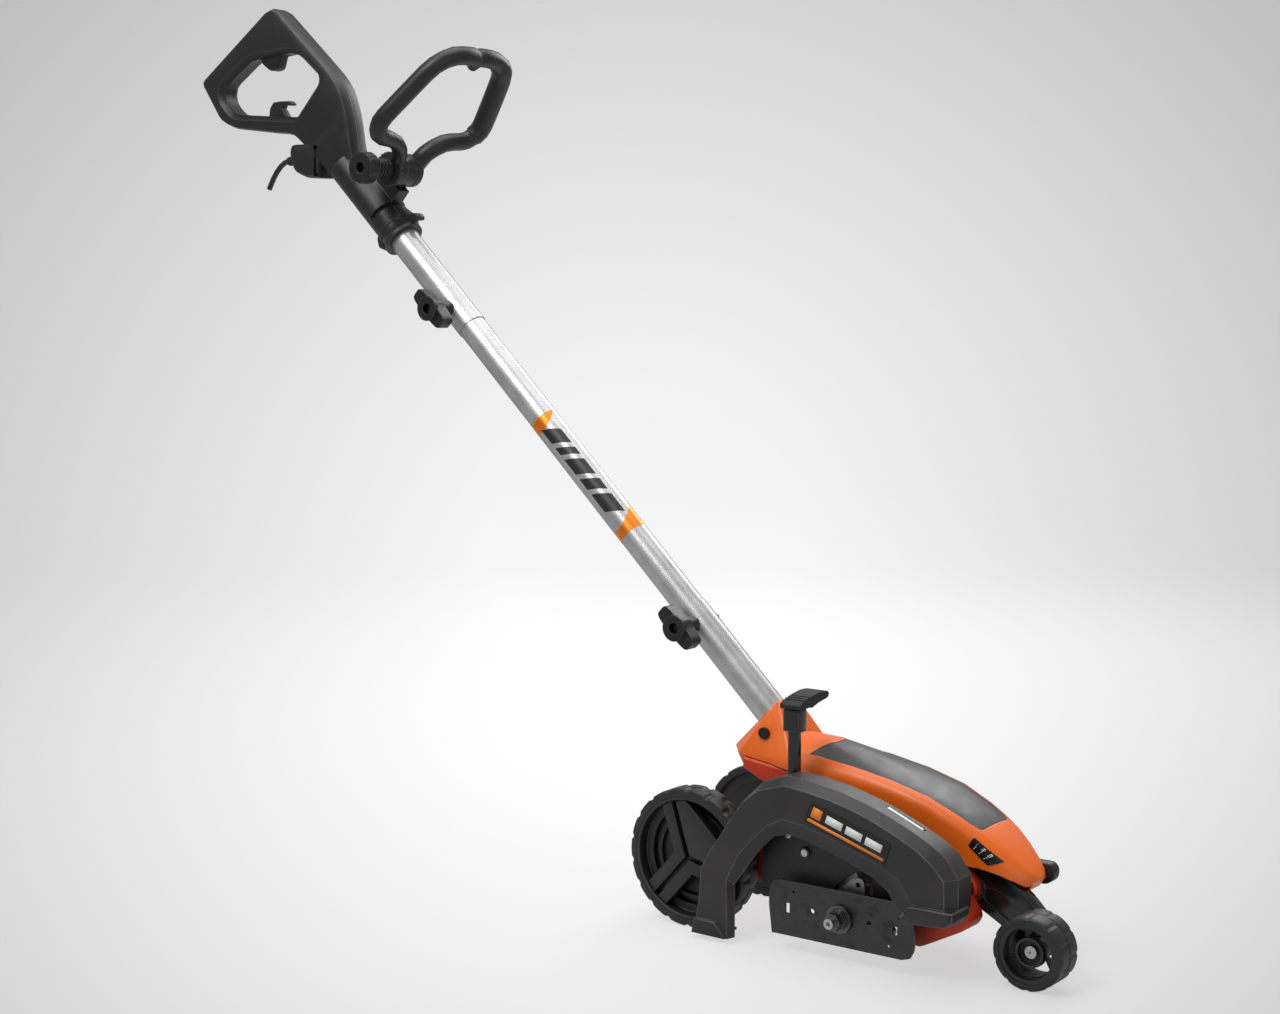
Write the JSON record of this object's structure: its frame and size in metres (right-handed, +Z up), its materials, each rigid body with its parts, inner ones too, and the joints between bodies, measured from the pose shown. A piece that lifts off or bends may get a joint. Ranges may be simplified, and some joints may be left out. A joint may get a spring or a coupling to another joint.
{
  "type": "lawn edger",
  "caption": "Walk-behind corded lawn edger: guarded blade, rear wheels, depth-setting front wheel, telescoping tube shaft, D-handle with trigger and pivoting auxiliary loop.",
  "frame": {"origin": "on the ground under the middle of the rear axle line, in the mid-plane of the shaft", "axes": "+X forward, from the handle towards the depth wheel; +Z up; -Y the guard and blade side"},
  "size_m": [1.3853, 0.2494, 1.1391],
  "materials": {
    "shell_orange": "satin moulded, orange",
    "shell_red": "satin moulded, red orange",
    "insert_black": "fine grained",
    "label_black": "printed plate",
    "trim_black": "matte",
    "guard_charcoal": "satin moulded",
    "white_mark": "printed strip",
    "cast_alloy": "as cast",
    "bright_steel": "turned",
    "gear_steel": "oiled dark steel",
    "core_steel": "laminated",
    "copper": "enamelled copper",
    "carbon": "pressed carbon",
    "blade_steel": "blackened, ground edges",
    "arm_black": "gloss moulded",
    "grip_rubber": "ribbed",
    "wheel_black": "moulded",
    "tread_rubber": "shallow lugs",
    "bolt_black": "blackened",
    "tube_alloy": "satin anodised",
    "decal_film": "printed film",
    "cable_black": "flexible jacket",
    "knob_black": "moulded",
    "handle_charcoal": "fine grained"
  },
  "bodies": {
    "chassis": {"top_cover": "shell_orange", "top_insert": "insert_black", "scale_plate": "label_black", "nose_tab": "trim_black", "base_housing": "shell_red", "guard": "guard_charcoal", "guard_label": "label_black", "cutline_strip": "white_mark", "gearbox_case": "cast_alloy", "gearbox_cover": "cast_alloy", "spindle_bearings": "bright_steel", "motor_bearings": "bright_steel", "stator_core": "core_steel", "field_coils": "copper", "motor_frame": "trim_black", "carbon_brushes": "carbon", "lever_pin": "bright_steel", "rear_axle": "bright_steel", "housing_screws": "bright_steel", "neck_bolt": "bolt_black", "lower_tube": "tube_alloy", "mid_tube": "tube_alloy", "tube_decal": "decal_film", "inner_cable": "cable_black", "lower_saddles": "knob_black"},
    "cutter": {"spindle": "bright_steel", "driven_gear": "gear_steel", "inner_flange": "gear_steel", "outer_flange": "gear_steel", "blade": "blade_steel", "blade_nut": "gear_steel"},
    "rotor": {"armature_shaft": "bright_steel", "cooling_fan": "trim_black", "armature_core": "core_steel", "commutator": "copper"},
    "depth_lever_arm": {"depth_lever": "arm_black", "lever_grip": "grip_rubber"},
    "link": {"link_rod": "bright_steel"},
    "wheel_arm": {"front_arm": "arm_black", "front_axle_bolt": "bright_steel"},
    "depth_wheel": {"front_wheel": "wheel_black", "front_tyre": "tread_rubber"},
    "wheel_right": {"rear_wheel_right": "wheel_black", "rear_tyre_right": "tread_rubber"},
    "wheel_left": {"rear_wheel_left": "wheel_black", "rear_tyre_left": "tread_rubber"},
    "lower_clamp": {"lower_knob": "knob_black"},
    "upper_shaft": {"upper_tube": "tube_alloy", "upper_saddle": "knob_black", "handle_shell_right": "handle_charcoal", "handle_shell_left": "handle_charcoal", "handle_screws": "bright_steel", "switch_module": "trim_black", "cord_inlet": "cable_black", "power_cord": "cable_black", "aux_bracket": "handle_charcoal"},
    "upper_clamp": {"upper_knob": "knob_black"},
    "switch_trigger": {"trigger": "trim_black"},
    "loop_handle": {"aux_handle": "handle_charcoal"},
    "loop_clamp": {"aux_knob": "knob_black"}
  },
  "joints": [
    {"name": "blade_spin", "type": "hinge", "parent": "chassis", "child": "cutter", "pos_m": [0.216, -0.112, 0.051], "axis": [0, 1, 0], "continuous": true},
    {"name": "motor_spin", "type": "hinge", "parent": "chassis", "child": "rotor", "pos_m": [0.2055, -0.01, 0.087], "axis": [0, 1, 0], "continuous": true},
    {"name": "depth_lever_swing", "type": "hinge", "parent": "chassis", "child": "depth_lever_arm", "pos_m": [0.133, -0.08, 0.13], "axis": [0, 1, 0], "range_deg": [0, 18]},
    {"name": "link_follow", "type": "hinge", "parent": "depth_lever_arm", "child": "link", "pos_m": [0.133, -0.0665, 0.156], "axis": [0, 1, 0], "range_deg": [-18, 0]},
    {"name": "wheel_arm_swing", "type": "hinge", "parent": "chassis", "child": "wheel_arm", "pos_m": [0.34, -0.022, 0.09], "axis": [0, 1, 0], "range_deg": [0, 18]},
    {"name": "depth_wheel_spin", "type": "hinge", "parent": "wheel_arm", "child": "depth_wheel", "pos_m": [0.4274, -0.0555, 0.0411], "axis": [0, 1, 0], "continuous": true},
    {"name": "wheel_right_spin", "type": "hinge", "parent": "chassis", "child": "wheel_right", "pos_m": [0, -0.0915, 0.0833], "axis": [0, 1, 0], "continuous": true},
    {"name": "wheel_left_spin", "type": "hinge", "parent": "chassis", "child": "wheel_left", "pos_m": [0, 0.0665, 0.0833], "axis": [0, 1, 0], "continuous": true},
    {"name": "lower_clamp_turn", "type": "hinge", "parent": "chassis", "child": "lower_clamp", "pos_m": [-0.05297, -0.05, 0.34723], "axis": [0, 1, 0], "range_deg": [0, 720]},
    {"name": "shaft_extend", "type": "slide", "parent": "chassis", "child": "upper_shaft", "axis": [-0.7201, 0, 0.6939], "range_m": [-0.1, 0]},
    {"name": "upper_clamp_turn", "type": "hinge", "parent": "upper_shaft", "child": "upper_clamp", "pos_m": [-0.44793, -0.05, 0.72784], "axis": [0, 1, 0], "range_deg": [0, 720]},
    {"name": "trigger_press", "type": "hinge", "parent": "upper_shaft", "child": "switch_trigger", "pos_m": [-0.752, 0, 1.094], "axis": [0, 1, 0], "range_deg": [0, 5], "stiffness_Nm_per_rad": 0.8},
    {"name": "loop_tilt", "type": "hinge", "parent": "upper_shaft", "child": "loop_handle", "pos_m": [-0.545, 0, 0.911], "axis": [0, 1, 0], "range_deg": [-20, 60]},
    {"name": "loop_clamp_turn", "type": "hinge", "parent": "upper_shaft", "child": "loop_clamp", "pos_m": [-0.545, -0.06, 0.911], "axis": [0, 1, 0], "range_deg": [0, 720]}
  ],
  "couplings": [
    {"joint": "motor_spin", "follows": "blade_spin", "ratio": -4},
    {"joint": "link_follow", "follows": "depth_lever_swing", "ratio": -1},
    {"joint": "wheel_arm_swing", "follows": "depth_lever_swing", "ratio": 1}
  ]
}
